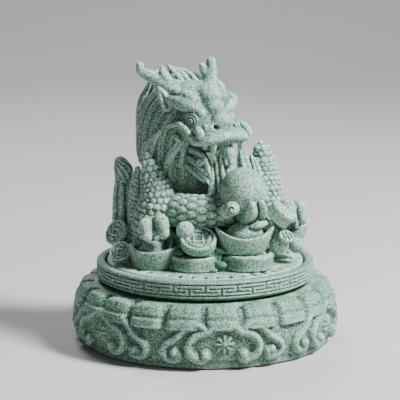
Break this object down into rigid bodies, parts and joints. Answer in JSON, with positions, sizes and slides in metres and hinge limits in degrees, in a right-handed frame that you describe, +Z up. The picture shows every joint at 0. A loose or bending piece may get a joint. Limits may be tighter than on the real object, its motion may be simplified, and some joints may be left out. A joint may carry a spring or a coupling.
{
  "type": "rotating jade dragon figurine",
  "caption": "Carved stone dragon with pearl on a treasure pile, on a lift-out pierced plate over a fretwork turntable and lotus plinth.",
  "frame": {"origin": "centre of the plinth's underside, on the surface that the ornament stands on", "axes": "+Z up along the turntable's axis, -Y towards the front of the pile, +X to a viewer's right"},
  "size_m": [0.0844, 0.0844, 0.0897],
  "materials": {
    "jade_stone": "matt speckled jade-powder casting",
    "dark_stone": "matt speckled jade-powder casting, shaded",
    "bearing_steel": "ground",
    "bush_brass": "turned",
    "felt": "pressed felt",
    "tablet": "porous"
  },
  "bodies": {
    "root": {"plinth": "jade_stone", "underside_pad": "felt", "lower_race": "bearing_steel", "spindle_bush": "bush_brass"},
    "ball_set": {"ball_cage": "bush_brass", "bearing_balls": "bearing_steel"},
    "turntable": {"turntable_ring": "jade_stone", "upper_race": "bearing_steel", "spindle": "bearing_steel", "thrust_washer": "bush_brass", "retaining_clip": "bearing_steel", "fragrance_tablet": "tablet"},
    "figure": {"pierced_plate": "jade_stone", "treasure_mound": "dark_stone", "ingot_front": "jade_stone", "ingot_left": "jade_stone", "ingot_right": "jade_stone", "ingot_back": "jade_stone", "coin_front_upper": "jade_stone", "coin_front_lower": "jade_stone", "coin_front_slab": "jade_stone", "coin_left_upper": "jade_stone", "coin_left_lower": "jade_stone", "coin_right_tilted": "jade_stone", "coin_right_small": "jade_stone", "coin_back_left": "jade_stone", "coin_back_right": "jade_stone", "treasure_beads": "jade_stone", "body_coil": "jade_stone", "haunch_left": "jade_stone", "haunch_right": "jade_stone", "side_fold": "jade_stone", "tail_tuft": "jade_stone", "neck": "jade_stone", "neck_mane": "jade_stone", "dorsal_fins": "jade_stone", "head": "jade_stone", "lower_jaw": "jade_stone", "tongue": "jade_stone", "fangs": "jade_stone", "beard": "jade_stone", "jaw_locks": "jade_stone", "eyes": "dark_stone", "horn_left": "jade_stone", "horn_right": "jade_stone", "ear_left": "jade_stone", "ear_right": "jade_stone", "crest": "jade_stone", "whisker_left": "jade_stone", "whisker_right": "jade_stone", "paw_left": "jade_stone", "paw_right": "jade_stone", "pearl_claw": "jade_stone", "pearl": "jade_stone"}
  },
  "joints": [
    {"name": "turntable_spin", "type": "hinge", "parent": "root", "child": "turntable", "pos_m": [0, 0, 0.0199], "axis": [0, 0, 1], "continuous": true},
    {"name": "ball_set_roll", "type": "hinge", "parent": "root", "child": "ball_set", "pos_m": [0, 0, 0.0172], "axis": [0, 0, 1], "continuous": true},
    {"name": "figure_lift", "type": "slide", "parent": "turntable", "child": "figure", "axis": [0, 0, 1], "range_m": [0, 0.02]}
  ],
  "couplings": [
    {"joint": "ball_set_roll", "follows": "turntable_spin", "ratio": 0.5}
  ]
}
